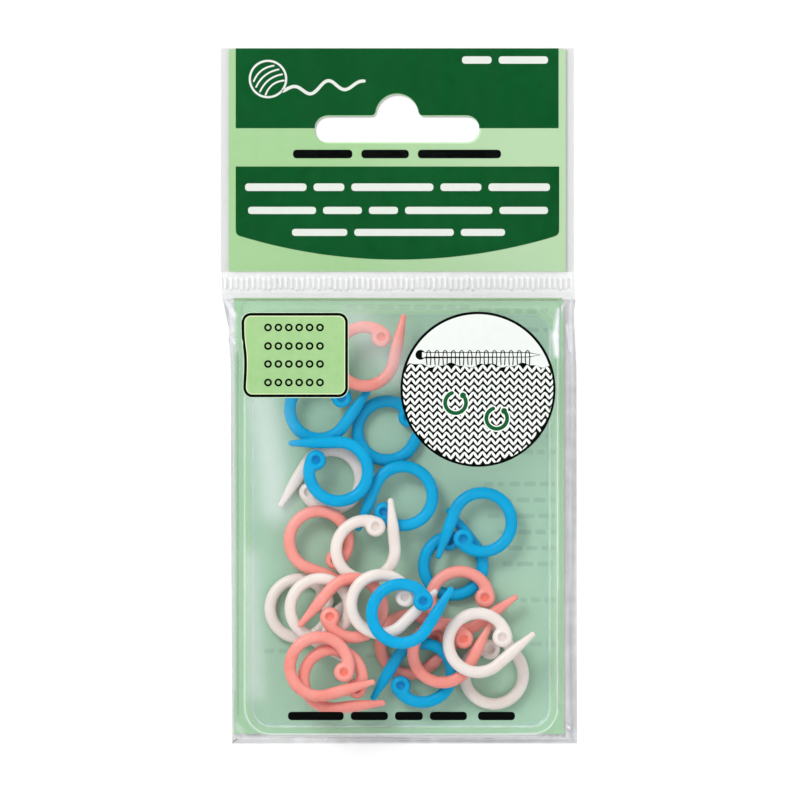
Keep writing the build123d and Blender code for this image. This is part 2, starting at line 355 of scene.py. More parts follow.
def stroke(points, width):
    """A closed loop round an open line of a given width, with round ends."""
    left, right = [], []
    for i, (x, y) in enumerate(points):
        x0, y0 = points[max(0, i - 1)]
        x1, y1 = points[min(len(points) - 1, i + 1)]
        length = math.hypot(x1 - x0, y1 - y0)
        nx, ny = (y0 - y1) / length * width / 2, (x1 - x0) / length * width / 2
        left.append((x + nx, y + ny))
        right.append((x - nx, y - ny))
    (ex, ey), (sx, sy) = points[-1], points[0]
    end = math.degrees(math.atan2(left[-1][1] - ey, left[-1][0] - ex))
    start = math.degrees(math.atan2(right[0][1] - sy, right[0][0] - sx))
    return (left + arc(ex, ey, width / 2, end, end - 180, 8)[1:-1]
            + right[::-1] + arc(sx, sy, width / 2, start, start - 180, 8)[1:-1])


def ring_of(left, right, bottom, top, low_radius, high_radius, counts, square=0.0):
    """Points round a rounded rectangle. counts gives those across, along and in each corner, so that all
    rings match; square runs from 0 for round corners to 1."""
    across, along, corner = counts
    points = []
    spots = [(left + low_radius, bottom + low_radius, low_radius, 180),
             (right - low_radius, bottom + low_radius, low_radius, 270),
             (right - high_radius, top - high_radius, high_radius, 0),
             (left + high_radius, top - high_radius, high_radius, 90)]
    steps = [across, along, across, along]
    for i, (cx, cy, radius, start) in enumerate(spots):
        for k in range(corner + 1):
            turn = math.radians(start + 90 * k / corner)
            c, s = math.cos(turn), math.sin(turn)
            stretch = 1 + square * (1 / max(abs(c), abs(s)) - 1)
            points.append((cx + radius * c * stretch, cy + radius * s * stretch))
        nx, ny, nr, nstart = spots[(i + 1) % 4]
        ax, ay = points[-1]
        turn = math.radians(nstart)
        bx, by = nx + nr * math.cos(turn), ny + nr * math.sin(turn)
        points += [(ax + (bx - ax) * k / steps[i], ay + (by - ay) * k / steps[i]) for k in range(1, steps[i])]
    return points


# ---------------------------------------------------------------- the pouch film's form
EASE_FROM, EASE_SPAN = 0.8, 0.2  # the shares of the climb where the shoulder rounds off


def local_top(y):
    """The pouch's height at a place along the pack: full, then down the shoulder to the crimp."""
    climb = max(0.0, min(1.0, (CRIMP_BOTTOM - 0.25 - y) / SHOULDER))
    eased = climb
    if climb >= EASE_FROM:
        eased = EASE_FROM + EASE_SPAN * math.sin((climb - EASE_FROM) / EASE_SPAN * math.pi / 2)
    return SEAL_TOP + (DOME_TOP - 0.05 - SEAL_TOP) * eased


# The film's section at the pouch's side: how far in from the wall's foot in mm, and the share of the height
SIDE_SHARES = [(-0.22, 0.0), (-0.08, 0.012), (-0.02, 0.05), (0.0, 0.3), (0.02, 0.6), (0.06, 0.85), (0.16, 0.94),
               (0.34, 0.975), (0.6, 0.992), (1.0, 1.0)]


def share_at(inset):
    """The share of the height that the film has at a distance in from the wall's foot."""
    for (a, s), (b, t) in zip(SIDE_SHARES, SIDE_SHARES[1:]):
        if inset <= b:
            return s + (t - s) * max(0.0, inset - a) / (b - a)
    return 1.0


CREASES = [  # folds: from and to in pixels, width and height in mm, and how strong a painted highlight lies along the fold (the short ones are painted glints)
    ((224, 299), (234, 315), 0.45, 0.25, 0.75), ((229, 303), (232, 331), 0.3, 0.12, 0.35),
    ((228, 333), (234, 343), 0.3, 0.15, 0.5), ((231, 345), (229, 366), 0.25, 0.1, 0.35),
    ((235, 316), (237, 352), 0.5, 0.12, 0.14),
    ((571, 297), (560, 309), 0.22, 0.2, 0.55), ((560, 309), (556, 336), 0.45, 0.3, 0.8),
    ((556, 336), (558, 354), 0.6, 0.3, 0.85), ((567, 325), (570, 352), 0.3, 0.2, 0.7),
    ((568, 726), (569, 728), 0.3, 0.1, 0.9), ((571, 738), (572, 739), 0.22, 0.1, 0.7),
    ((485, 737), (491, 737), 0.2, 0.1, 0.9), ((237, 725), (244, 737), 0.5, 0.12, 0.2),
    ((256, 736), (330, 738.6), 0.16, 0.03, 0.4), ((330, 738.6), (440, 737.2), 0.16, 0.03, 0.3),
    ((440, 737.2), (545, 733.5), 0.16, 0.03, 0.18),
]
SHEENS = [  # broad soft reflections: from and to in pixels, width in mm, and strength
    ((262, 405), (276, 505), 3.2, 0.2), ((250, 560), (256, 690), 2.0, 0.12), ((556, 380), (558, 700), 0.5, 0.05),
    ((354, 322), (398, 366), 3.6, 0.12), ((234.4, 312), (234.8, 690), 0.2, 0.25),
    ((242, 330), (242.5, 700), 0.2, 0.12),
]
SHADES = [  # thin dark lines of painted shade along folds: from and to in pixels, width in mm, and strength
    ((237.4, 352), (237.8, 715), 0.14, 0.22), ((558.7, 590), (558.8, 708), 0.2, 0.2),
]
# The film's wavy edges down the pouch: pixel rows, and the edge's pixel column there
LEFT_EDGE = [(270, 221.5), (297, 222), (304, 224), (318, 226.5), (330, 229.5), (340, 228.6), (347, 229.6),
             (356, 230.4), (372, 231), (560, 231.4), (742, 232.4)]
RIGHT_EDGE = [(270, 574.4), (290, 575.2), (300, 575.6), (312, 573.8), (328, 574.4), (345, 575.4), (370, 576.4),
              (742, 577)]


def line_distance(point, start, end):
    """How far a point is from the line between two others."""
    (x, y), (x0, y0), (x1, y1) = point, start, end
    dx, dy = x1 - x0, y1 - y0
    t = max(0.0, min(1.0, ((x - x0) * dx + (y - y0) * dy) / (dx * dx + dy * dy)))
    return math.hypot(x - x0 - t * dx, y - y0 - t * dy)


def nearness(x, y, start, end, width):
    """1 on the line between two pixels, and less beside it."""
    return math.exp(-(line_distance((x, y), at(*start), at(*end)) / width) ** 2)


def crease_and_painted_light(x, y):
    """How far the film's folds lift it at a place, and how much painted highlight (the folds' white and the sheens)
    and painted shade (the thin dark lines) lie there.
    """
    lift = white = dark = 0.0
    for start, end, width, height, bright in CREASES:
        near = nearness(x, y, start, end, width)
        lift += height * near
        white += bright * near
    for start, end, width, bright in SHEENS:
        white += bright * nearness(x, y, start, end, width)
    for start, end, width, deep in SHADES:
        dark += deep * nearness(x, y, start, end, width)
    return lift, white, dark


def film_edge(x, y):
    """Where the film's wavy edge lies beside a place on the pouch, in millimetres."""
    table = LEFT_EDGE if x < 0 else RIGHT_EDGE
    py = ORIGIN_PX[1] - y / PX
    for (a, x0), (b, x1) in zip(table, table[1:]):
        if py <= b:
            t = max(0.0, (py - a) / (b - a))
            return (x0 + (x1 - x0) * t - ORIGIN_PX[0]) * PX
    return (table[-1][1] - ORIGIN_PX[0]) * PX


def over_card(x, y):
    """How much of the way onto the backing card a place is, from 0 half a millimetre outside it to 1 inside."""
    return smooth_step(-0.5, 0.0, min(x - green_low[0], green_high[0] - x, y - green_low[1]))


POUCH_COUNTS = (96, 132, 12)
FOOT_RADIUS, WELD_RADIUS = 5.6, 1.5  # the pouch's corners at its bottom and beside the weld
WALL_END = CRIMP_BOTTOM - 0.15  # the wall's foot beside the weld
TOP_FROM, TOP_TO = 1.6, 29.5  # where the rings over the pouch's top run, in from the wall's foot
WALL_GREY, WALL_WHITE = 0.05, 0.04  # the walls are a little greyer than the top, and keep little of the painted highlight


def skirt_points(reach):
    """A ring of the flat film round the pouch; reach runs from 0 at the film's edge to 1 at the wall's foot."""
    outer = ring_of(film_low[0], film_high[0], film_low[1], CRIMP_BOTTOM, 6, 2, POUCH_COUNTS, square=1)
    inner = ring_of(DOME_LEFT, DOME_RIGHT, DOME_BOTTOM, WALL_END, FOOT_RADIUS, WELD_RADIUS, POUCH_COUNTS)
    points = []
    for (ox, oy), (ix, iy) in zip(outer, inner):
        if abs(abs(ox) - film_high[0]) < 0.01:
            ox = film_edge(ox, oy)
        x, y = ox + (ix - ox) * reach, oy + (iy - oy) * reach
        edge = film_edge(x, y)
        points.append((max(x, edge) if x < 0 else min(x, edge), y))
    return points


def dome_points(inset):
    """A ring of the pouch's wall or top, a distance in from the wall's foot."""
    return ring_of(DOME_LEFT + inset, DOME_RIGHT - inset, DOME_BOTTOM + inset, WALL_END - inset,
                   max(FOOT_RADIUS - inset, 1.2), max(WELD_RADIUS - inset * 0.2, 0.6), POUCH_COUNTS)


def film_point(x, y, share):
    """The height, haze and dullness of the pouch film where it has a share of its full height."""
    # white is the painted highlight of the creases and sheens, dark the painted shade of the thin dark lines
    lift, white, dark = crease_and_painted_light(x, y)
    flat, top, wall = share == 0, share >= 1, 0.01 < share < 0.97
    z = SEAL_TOP + (local_top(y) - SEAL_TOP) * share
    if top:
        z += 0.05 * wobble(x * 0.16, y * 0.1, 4.0) + 0.02 * wobble(x * 0.5, y * 0.4, 9.0)
        z = min(z, DOME_TOP + 0.05)
    elif flat:
        z -= 0.1 * (1 + wobble(x * 1.1, y * 0.12, 2.0))
    if share < 0.06:  # lies on the backing card
        z = max(z, z + (GREEN_TOP + 0.06 - z) * over_card(x, y))
    grey = WALL_GREY if wall else dark
    if flat:
        across, along = (y, x) if y < DOME_BOTTOM - 0.1 else (x, y)
        streaks = wobble(across * 2.0, along * 0.03, 3.0) + 0.3 * wobble(across * 0.3, along * 0.5, 8.0)
        grey += max(0.0, min(1.0, 0.5 + 0.7 * streaks)) * (0.33 - 0.29 * over_card(x, y))
    if wall:
        white *= WALL_WHITE
    return z + lift * (0.3 if top else 0.6), min(1.0, white + grey), grey / (grey + white + 0.001)


def make_pouch():
    """The pouch's front film: the flat skirt, the steep walls and the nearly flat top, in rings from outside in."""
    rings = [(skirt_points(q / 8), 0.0) for q in range(8)]
    rings += [(dome_points(inset), share_at(inset)) for inset, _ in SIDE_SHARES]
    inset = TOP_FROM
    while inset < TOP_TO:
        rings.append((dome_points(inset), share_at(inset)))
        inset += 0.7 if inset < 6 else 1.1
    rows, haze, dull = [], [], []
    for points, share in rings:
        made = [film_point(x, y, share) for x, y in points]
        rows.append([(x, y, z) for (x, y), (z, _, _) in zip(points, made)])
        haze.append([h for _, h, _ in made])
        dull.append([d for _, _, d in made])
    obj = sheet("pouch_front_film", rows, FILM, "clear_film", haze, dull, 0.05)
    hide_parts("pouch_film")


TRAY_COUNTS = (60, 84, 10)
TRAY_SECTION = [  # how far out from the wall's foot in mm, share of the height, and how strong the painted highlight line along the edge is
    (-18.0, 0, 0), (-8.0, 0, 0), (-3.0, 0, 0), (-0.6, 0.0, 0), (-0.25, 0.004, 0.1), (0.0, 0.018, 0.5),
    (0.16, 0.05, 0.42), (0.3, 0.12, 0.08), (0.5, 0.3, 0.02), (0.9, 0.62, 0.02), (1.25, 0.93, 0.06),
    (1.36, 0.985, 0.3), (1.5, 1.0, 0.42), (1.68, 0.996, 0.2),
]
TRAY_INSET = 1.7  # from the solid's box to the foot of the tray's wall
TRAY_RADIUS, TRAY_TINT = 3.6, 0.11


def make_tray():
    """The clear tray: a softly rounded floor edge, a drafted wall and a small turned rim, with painted highlight
    lines along its edges.
    """
    left, right, bottom, top = (tray_low[0] + TRAY_INSET, tray_high[0] - TRAY_INSET,
                                tray_low[1] + TRAY_INSET, tray_high[1] - TRAY_INSET)
    floor, rim = CARD_TOP + 0.03, tray_high[2] - 0.02
    rise = rim - floor
    rows, haze, dull = [], [], []
    for out, share, white in TRAY_SECTION[::-1]:
        radius = max(TRAY_RADIUS + out, 0.8)
        ground = TRAY_TINT if share < 0.01 else 0.0  # on the floor alone
        row, hazes, dulls = [], [], []
        for x, y in ring_of(left - out, right + out, bottom - out, top + out, radius, radius, TRAY_COUNTS):
            limit = local_top(y + 0.6) - 0.35  # stays under the film's shoulder
            row.append((x, y, max(floor, min(floor + rise * share, limit))))
            end = 0.15 if y > top - 3 else 1.0  # the painted highlight lines fade under the weld
            line = end * white * (0.8 + 0.4 * wobble(x * 0.4, y * 0.3, 1.0))
            hazes.append(line + ground)
            dulls.append(line / (line + ground) if ground else 1.0)
        rows.append(row)
        haze.append(hazes)
        dull.append(dulls)
    obj = sheet("clear_tray_shell", rows, TRAY, "clear_tray_plastic", haze, dull, 0.06)
    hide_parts("clear_tray")


# ---------------------------------------------------------------- header, crimp and back sheets
HOLE_X, HOLE_Y = at(397.0, 128.5)
SLOT_HALF, SLOT_RADIUS, HUMP, HUMP_FILLET = 31.7 / 2, 5.05 / 2, 4.2, 0.8
HOLE_SHADE_OFFSET = (0.3, -0.42)  # how far the films' hole is set off from the card's, so that grey film inside the hole's upper left edge stands as a painted shadow
HEADER_LEFT, HEADER_RIGHT = at(220.6, 0)[0], at(574.0, 0)[0]
RIB_LOW, RIB_HIGH, WELD_FOLD = at(0, 289.6)[1], at(0, 278)[1], at(0, 294.2)[1]
RIB_PITCH, RIB_COLUMN, RIB_BASE, RIB_RISE = 1.056, 0.132, 0.42, 0.3


def hole_loop():
    """The hang hole's outline: a long slot with a round hump, softened where they meet."""
    end = SLOT_HALF - SLOT_RADIUS
    top = HOLE_Y + SLOT_RADIUS
    reach = math.sqrt((HUMP + HUMP_FILLET) ** 2 - HUMP_FILLET ** 2)
    turn = math.degrees(math.atan2(HUMP_FILLET, reach))
    return (arc(HOLE_X + end, HOLE_Y, SLOT_RADIUS, -90, 90, 12)
            + arc(HOLE_X + reach, top + HUMP_FILLET, HUMP_FILLET, -90, -180 + turn, 6)
            + arc(HOLE_X, top, HUMP, turn, 180 - turn, 20)
            + arc(HOLE_X - reach, top + HUMP_FILLET, HUMP_FILLET, -turn, -90, 6)
            + arc(HOLE_X - end, HOLE_Y, SLOT_RADIUS, 90, 270, 12))


def header_edge(y):
    """The left and right edges of the header's film, which are very nearly straight."""
    return HEADER_LEFT + 0.03 * math.sin(y * 0.9), HEADER_RIGHT + 0.04 * math.sin(y * 0.7 + 1)


def make_sheets():
    """The back film and the header's front film."""
    # the films' hole is set off from the card's, so that grey film shows inside its upper left edge as painted shadow
    punched = [(x + HOLE_SHADE_OFFSET[0], y + HOLE_SHADE_OFFSET[1]) for x, y in hole_loop()][::-1]
    steps = 44
    low, high = film_low[1], CRIMP_TOP - 0.3
    pouch_ys = [low + i for i in range(math.ceil(high - low))] + [high]
    header_ys = [CRIMP_TOP + (film_high[1] - CRIMP_TOP) * i / steps for i in range(steps + 1)]
    header = [(header_edge(y)[1], y) for y in header_ys] + [(header_edge(y)[0], y) for y in header_ys[::-1]]
    whole = [(film_edge(1, y), y) for y in pouch_ys] + header + [(film_edge(-1, y), y) for y in pouch_ys[::-1]]
    back = plate("back_film_sheet", [whole, punched], 0.02, 0.07, FILM_FLAT, "clear_film")
    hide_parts("back_film")
    front = plate("header_front_film", [header, punched], CARD_TOP + 0.06, 0.05, FILM_FLAT, "clear_film")
    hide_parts("header_film")


def make_crimp():
    """The welded band: pressed ribs with soft flanks, a plain strip above and below."""
    left, right = header_edge(CRIMP_TOP)[0] + 0.3, header_edge(CRIMP_TOP)[1] - 0.3
    bottom = CRIMP_BOTTOM - 0.1
    ys = [bottom, bottom + 0.3, WELD_FOLD - 0.3, WELD_FOLD - 0.12, WELD_FOLD, WELD_FOLD + 0.12, WELD_FOLD + 0.3,
          RIB_LOW - 0.15, RIB_LOW, RIB_LOW + 0.25, RIB_LOW + 0.6, (RIB_LOW + RIB_HIGH) / 2,
          RIB_HIGH - 0.6, RIB_HIGH - 0.25, RIB_HIGH, RIB_HIGH + 0.15, CRIMP_TOP - 0.3, CRIMP_TOP]
    random.seed(5)
    columns = int((right - left) / RIB_COLUMN)
    ribs = {}  # each rib's strength, shift along the pack and share of painted light
    rows, haze, dull = [], [], []
    for y in ys:
        row, hazes, dulls = [], [], []
        for k in range(columns + 1):
            x = left + (right - left) * k / columns
            count = x / RIB_PITCH + 100  # ribs, counted from a place far to the left
            if int(count) not in ribs:
                ribs[int(count)] = (0.75 + 0.5 * random.random(), random.uniform(-0.15, 0.15), random.random())
            strength, shift, rib_light = ribs[int(count)]
            inside = 1.0 if RIB_LOW + shift < y < RIB_HIGH + shift * 0.6 else 0.0
            wave = math.sin(count % 1 * math.pi) ** 2
            z = RIB_BASE + inside * RIB_RISE * strength * wave + 0.03 * wobble(x * 0.3, y * 0.4, 7)
            row.append((x, y, z))
            # painted highlight on the ribs' crests; painted shade in their valleys and along the weld's fold, and a
            # greyer tone towards the bottom strip
            shine = 0.25 + inside * 0.3 * wave ** 2 * (0.4 + rib_light)
            grey = (inside * 0.42 * (1 - wave) ** 2 * (0.5 + 0.5 * rib_light)
                    + 0.2 * math.exp(-((y - WELD_FOLD) / 0.16) ** 2))
            grey += 0.1 * smooth_step(WELD_FOLD + 0.3, bottom, y) + 0.05
            hazes.append(min(1.0, shine + grey))
            dulls.append(grey / (shine + grey))
        rows.append(row)
        haze.append(hazes)
        dull.append(dulls)
    obj = sheet("crimp_ribs", rows, CRIMP, "clear_film", haze, dull, 0.06, closed=False)
    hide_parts("crimp_seal")


# ---------------------------------------------------------------- printing on the cards
INK = CARD_TOP + 0.012
ON_BLOCK = INK + 0.014
INK_THICK = 0.012
# Edges of the two dark blocks, in pixels
BLOCK_LEFT, BLOCK_RIGHT, BLOCK_TOP, BLOCK_LOW = 235.7, 558.6, 48.4, 128.2
LOWER_RIGHT, LOWER_TOP, LOWER_SIDES, LOWER_BOW, LOWER_MIDDLE = 559.2, 166.5, 229.5, 259.6, 398
WORD_LINES = [  # name; from, to, shares of the bars, gap, middle and size in pixels; height in mm; ink
    ("print_line_black", 293, 501, (5, 4, 7), 9, 154, 8.6, INK, BLACK_INK),
    ("print_line_white_1", 245, 550, (6, 3, 8, 4, 6), 7, 187.2, 7.6, ON_BLOCK, WHITE_INK),
    ("print_line_white_2", 248, 548, (7, 4, 3, 9, 5), 7, 210.4, 7.2, ON_BLOCK, WHITE_INK),
    ("print_line_white_3", 292, 505, (5, 9, 4), 7, 232.4, 7.0, ON_BLOCK, WHITE_INK),
    ("print_corner_bars", 462, 548, (3, 5), 7, 60, 7.4, ON_BLOCK, WHITE_INK),
]


def word_bars(name, spans, y_px, height_px, low, mat, drape=None):
    """A plain row of rounded bars where a line of words would be."""
    loops = []
    for x0, x1 in spans:
        (ax, ay), (bx, by) = at(x0, y_px + height_px / 2), at(x1, y_px - height_px / 2)
        loops.append(round_box(ax, bx, ay, by, (by - ay) * 0.42, 4))
    return plate(name, loops, low, INK_THICK, mat, "printed_card", drape)


def split_spans(x0, x1, shares, gap):
    """Bars of given shares of a line's length, with even gaps."""
    room = (x1 - x0) - gap * (len(shares) - 1)
    total, spans, x = sum(shares), [], x0
    for share in shares:
        spans.append((x, x + room * share / total))
        x += room * share / total + gap
    return spans


def make_header_print():
    """The header's two dark blocks, the plain bars on them, and the yarn mark."""
    (left, top), (right, low) = at(BLOCK_LEFT, BLOCK_TOP), at(BLOCK_RIGHT, BLOCK_LOW)
    rim = [p for p in hole_loop() if p[1] >= low][::-1]  # the hole's upper edge, from the left
    block = [(left, top), (left, low), (rim[0][0], low)] + rim + [(rim[-1][0], low), (right, low), (right, top)]
    plate("print_block_top", [block], INK, INK_THICK, DARK, "printed_card")
    right, top = at(LOWER_RIGHT, LOWER_TOP)
    middle, deep = at(LOWER_MIDDLE, LOWER_BOW)
    side = at(0, LOWER_SIDES)[1]
    half = (right - left) / 2 - 1.2
    sag = side - 1.4 - deep
    radius = (half ** 2 + sag ** 2) / (2 * sag)
    turn = math.degrees(math.asin(half / radius))
    corner = 1.1
    shape = ([(left, top), (left, side + 0.4)] + arc(left + corner, side - 0.2, corner, 180, 250, 6)[1:]
             + arc(middle, deep + radius, radius, 270 - turn, 270 + turn, 48)
             + arc(right - corner, side - 0.2, corner, 290, 360, 6)[:-1] + [(right, side + 0.4), (right, top)])
    plate("print_block_lower", [shape], INK, INK_THICK, DARK, "printed_card")
    for name, x0, x1, shares, gap, y, height, low, ink in WORD_LINES:
        word_bars(name, split_spans(x0, x1, shares, gap), y, height, low, ink)
    make_yarn_mark()


def make_yarn_mark():
    """A plain drawn ball of yarn, whose loose end waves off to the right."""
    cx, cy = at(268, 79)
    r, outline, strand, thread, slant = 3.7, 0.42, 0.34, 0.62, math.radians(38)
    loops = [circle(cx, cy, r), circle(cx, cy, r - outline)[::-1]]
    plate("print_ball", loops, ON_BLOCK, INK_THICK, WHITE_INK, "printed_card")
    strands = []
    for shift in (-1.9, -0.75, 0.4, 1.55):
        points = []
        for i in range(15):
            t = -1 + 2 * i / 14
            u = t * 0.86 * math.sqrt(max(0.0, (r - 0.5) ** 2 - shift ** 2))
            points.append(turned(cx, cy, u, shift + 0.7 * (1 - t * t) - 0.2, slant))
        strands.append(stroke(points, strand))
    plate("print_ball_strands", strands, ON_BLOCK, INK_THICK, WHITE_INK, "printed_card")
    x0, x1 = cx + r * 0.8, at(364, 0)[0]
    wave = []
    for i in range(61):
        t = i / 60
        swing = 1.15 * math.sin(t * 4.5 * math.pi) * (0.35 + 0.65 * math.sin(t * math.pi))
        wave.append((x0 + (x1 - x0) * t, cy - r * 0.62 + swing + 1.5 * t))
    plate("print_loose_end", [stroke(wave, thread)], ON_BLOCK, INK_THICK, WHITE_INK, "printed_card")


# ---------------------------------------------------------------- printing on the pouch film
LABEL_LEFT, LABEL_RIGHT, LABEL_TOP, LABEL_BOTTOM = 242.9, 346.5, 314.3, 395.8  # pixels
LABEL_ROWS, LABEL_COLUMNS = (327.5, 346, 364, 382.5), [268 + column * 10.4 for column in range(6)]
LABEL_CORNER = 8.0
LABEL_RING_OUT, LABEL_RING_IN = 0.76, 0.38
PICTURE_X, PICTURE_Y = at(478, 389.2)
PICTURE_R = 77.6 * PX
PICTURE_INNER = PICTURE_R - 0.45
STITCH_X, STITCH_Y = 1.72, 1.28
LEAF_X, LEAF_LONG, LEAF_WIDE, LEAF_SLANT, LEAF_POINTS = 0.235, 0.86, 0.255, 33, 12
CLOTH_RISE, NEEDLE_RISE = 4.6, 6.6
OPEN_RINGS, OPEN_RING_R, OPEN_RING_END = ((-4.3, -2.6), (3.6, -5.6)), 2.0, 45
GHOST_BARS = [  # words that show through the backing card: from, to and middle, in pixels
    (346, 470, 307), (478, 548, 311), (506, 548, 330), (486, 552, 436), (497, 556, 452), (484, 556, 484),
    (500, 556, 500), (488, 556, 516), (498, 556, 532), (482, 556, 548), (502, 556, 564), (520, 556, 600),
    (530, 556, 644), (360, 400, 640), (366, 412, 656), (264, 290, 651),
]


def on_film(x, y):
    """The height of the pouch film's outside at a place, kept nearly level where the walls begin."""
    inset = min(x - DOME_LEFT, DOME_RIGHT - x, y - DOME_BOTTOM)
    share = max(0.94, share_at(max(0.03, inset)))
    return SEAL_TOP + (local_top(y) - SEAL_TOP) * share + 0.05


def film_print(name, loops, low, mat, thick=0.01):
    """Ink on the outside of the pouch film."""
    return plate(name, loops, low, thick, mat, "clear_film", on_film)


def label_outline(grow):
    """The label's wavy-sided rounded outline, made larger by some pixels."""
    (lx, by), (rx, ty) = at(LABEL_LEFT - grow, LABEL_BOTTOM + grow), at(LABEL_RIGHT + grow, LABEL_TOP - grow)
    loop = round_box(lx, rx, by, ty, (LABEL_CORNER + grow) * PX, 8)
    wavy = []
    for (x0, y0), (x1, y1) in zip(loop, loop[1:] + loop[:1]):
        count = max(1, int(math.hypot(x1 - x0, y1 - y0) / 0.5))
        for i in range(count):
            x, y = x0 + (x1 - x0) * i / count, y0 + (y1 - y0) * i / count
            py = ORIGIN_PX[1] - y / PX
            near = max(0.0, 1 - (x - lx) / 3.0)
            bend = 2.8 / (1 + math.exp(-(py - 346) / 5)) - 1.0 * math.exp(-((py - 388) / 13) ** 2)
            wavy.append((x + near * bend * PX, y))
    return wavy


def make_label():
    """The printed box on the film: outlines round a fill, with 24 small rings in rows."""
    film_print("label_halo", [label_outline(2.1)], 0.0, PALE_LINE)
    film_print("label_outline", [label_outline(1.45)], 0.012, BLACK_INK)
    film_print("label_inner_line", [label_outline(-1.4)], 0.024, CREAM_LINE)
    film_print("label_fill", [label_outline(-2.3)], 0.036, LABEL)
    rings = []
    for row in LABEL_ROWS:
        for column in LABEL_COLUMNS:
            cx, cy = at(column, row)
            rings += [circle(cx, cy, LABEL_RING_OUT, 20), circle(cx, cy, LABEL_RING_IN, 16)[::-1]]
    film_print("label_rings", rings, 0.048, BLACK_INK)


def cloth_top(x):
    """The uneven upper edge of the knitted cloth in the picture."""
    x -= PICTURE_X
    return PICTURE_Y + CLOTH_RISE + 0.35 * math.sin(x * 0.9) + 0.16 * math.sin(x * 2.3 + 1)


def make_cloth():
    """The picture's cloth: a dark ground with two slanted white leaves for each stitch."""
    cx, cy = PICTURE_X, PICTURE_Y
    around = circle(cx, cy, PICTURE_INNER, 160)
    below = [p for p in around[40:] + around[:40] if p[1] < cloth_top(p[0])]
    first, last = below[0], below[-1]
    xs = [last[0] + (first[0] - last[0]) * i / 60 for i in range(1, 60)]
    film_print("picture_cloth", [below + [(x, cloth_top(x)) for x in xs]], 0.024, BLACK_INK)
    verts, faces = [], []
    for row in range(-13, 6):
        for column in range(-10, 11):
            for side in (-1, 1):
                bx = cx + (column + side * LEAF_X) * STITCH_X + 0.1 * math.sin(row * 0.9)
                by = cy + (row + 0.1) * STITCH_Y + 0.12 * math.sin(column * 0.7)
                if math.hypot(bx - cx, by - cy) >= PICTURE_INNER + 0.2 or by >= cloth_top(bx) - 0.2:
                    continue
                faces.append(tuple(range(len(verts), len(verts) + LEAF_POINTS)))
                turn = math.radians(90 - side * LEAF_SLANT)
                for k in range(LEAF_POINTS):
                    t = 2 * math.pi * k / LEAF_POINTS
                    x, y = turned(bx, by, LEAF_LONG * math.cos(t), LEAF_WIDE * math.sin(t), turn)
                    reach = math.hypot(x - cx, y - cy)
                    if reach > PICTURE_INNER:
                        x, y = cx + (x - cx) * PICTURE_INNER / reach, cy + (y - cy) * PICTURE_INNER / reach
                    y = min(y, cloth_top(x) - 0.05)
                    verts.append((x, y, on_film(x, y) + 0.045))
    piece("picture_stitches", verts, faces, WHITE_INK, "clear_film", smooth=False)


def make_picture():
    """The round picture: a plain drawing of a knitted swatch on one needle, with two rings on its stitches."""
    cx, cy = PICTURE_X, PICTURE_Y
    film_print("picture_outline", [circle(cx, cy, PICTURE_R, 96)], 0.0, BLACK_INK)
    film_print("picture_ground", [circle(cx, cy, PICTURE_R - 0.5, 96)], 0.012, CREAM)
    make_cloth()
    y = cy + NEEDLE_RISE
    half = math.sqrt(PICTURE_INNER ** 2 - NEEDLE_RISE ** 2) - 0.9
    left, right = cx - half, cx + half
    grown, shaft = [[(left + butt, y + r), (left + butt, y - r), (right - tip, y - r), (right + point, y),
                     (right - tip, y + r)] for butt, tip, point, r in ((1.2, 2.3, 0.1, 0.5), (1.4, 2.4, -0.2, 0.34))]
    film_print("picture_needle_line", [grown, circle(left + 0.9, y, 0.95, 24)], 0.036, BLACK_INK, 0.008)
    film_print("picture_needle", [shaft], 0.046, WHITE_INK, 0.008)
    loop = [(-0.32, -1.9), (-0.42, -0.5), (-0.28, 0.62), (0.02, 0.86), (0.32, 0.62), (0.46, -0.5), (0.36, -1.9)]
    places = [cx + column * STITCH_X * 0.92 for column in range(-6, 7)]
    loops = [stroke([(x + dx, y + dy) for dx, dy in loop], 0.2) for x in places]
    film_print("picture_loops", loops, 0.056, BLACK_INK, 0.008)
    for name, extra, low, ink in (("picture_ring_halo_%d", 0.22, 0.066, WHITE_INK),
                                  ("picture_ring_%d", 0, 0.082, RING_INK)):
        shapes = []
        for dx, dy in OPEN_RINGS:
            bow = arc(cx + dx, cy + dy, OPEN_RING_R, -250, OPEN_RING_END, 30)
            shapes += [stroke(bow, 0.75 + 2 * extra), circle(*bow[-1], 0.58 + extra, 16)]
        for i, shape in enumerate(shapes):
            film_print(name % (i + 1), [shape], low + 0.004 * i, ink, 0.002)


def make_other_print():
    """The backing card's shaded top edge, the line of bars at the bottom, and the show-through."""
    # painted shade: a thin darker green strip along the backing card's top edge
    (x0, y0), (x1, y1) = at(233.4, 300.1), at(562.2, 298.1)
    plate("backing_top_shade", [round_box(x0, x1, y0, y1, 0.1, 2)], GREEN_TOP + 0.014, 0.008, TOP_SHADE, "green_card")
    spans = split_spans(288, 467, (6, 4, 3, 4), 7) + split_spans(478, 515, (1,), 0)
    word_bars("print_bottom", spans, 716, 8.4, 0.0, BLACK_INK, on_film)
    random.seed(11)
    loops = []
    for x, end, y in GHOST_BARS:
        while x < end - 4:
            width = random.uniform(7, 17)
            (ax, ay), (bx, by) = at(x, y + 2.4), at(min(x + width, end), y - 2.4)
            loops.append(round_box(ax, bx, ay, by, 0.3, 3))
            x += width + 4
    plate("backing_show_through", loops, GREEN_TOP + 0.004, 0.008, GHOST, "green_card")


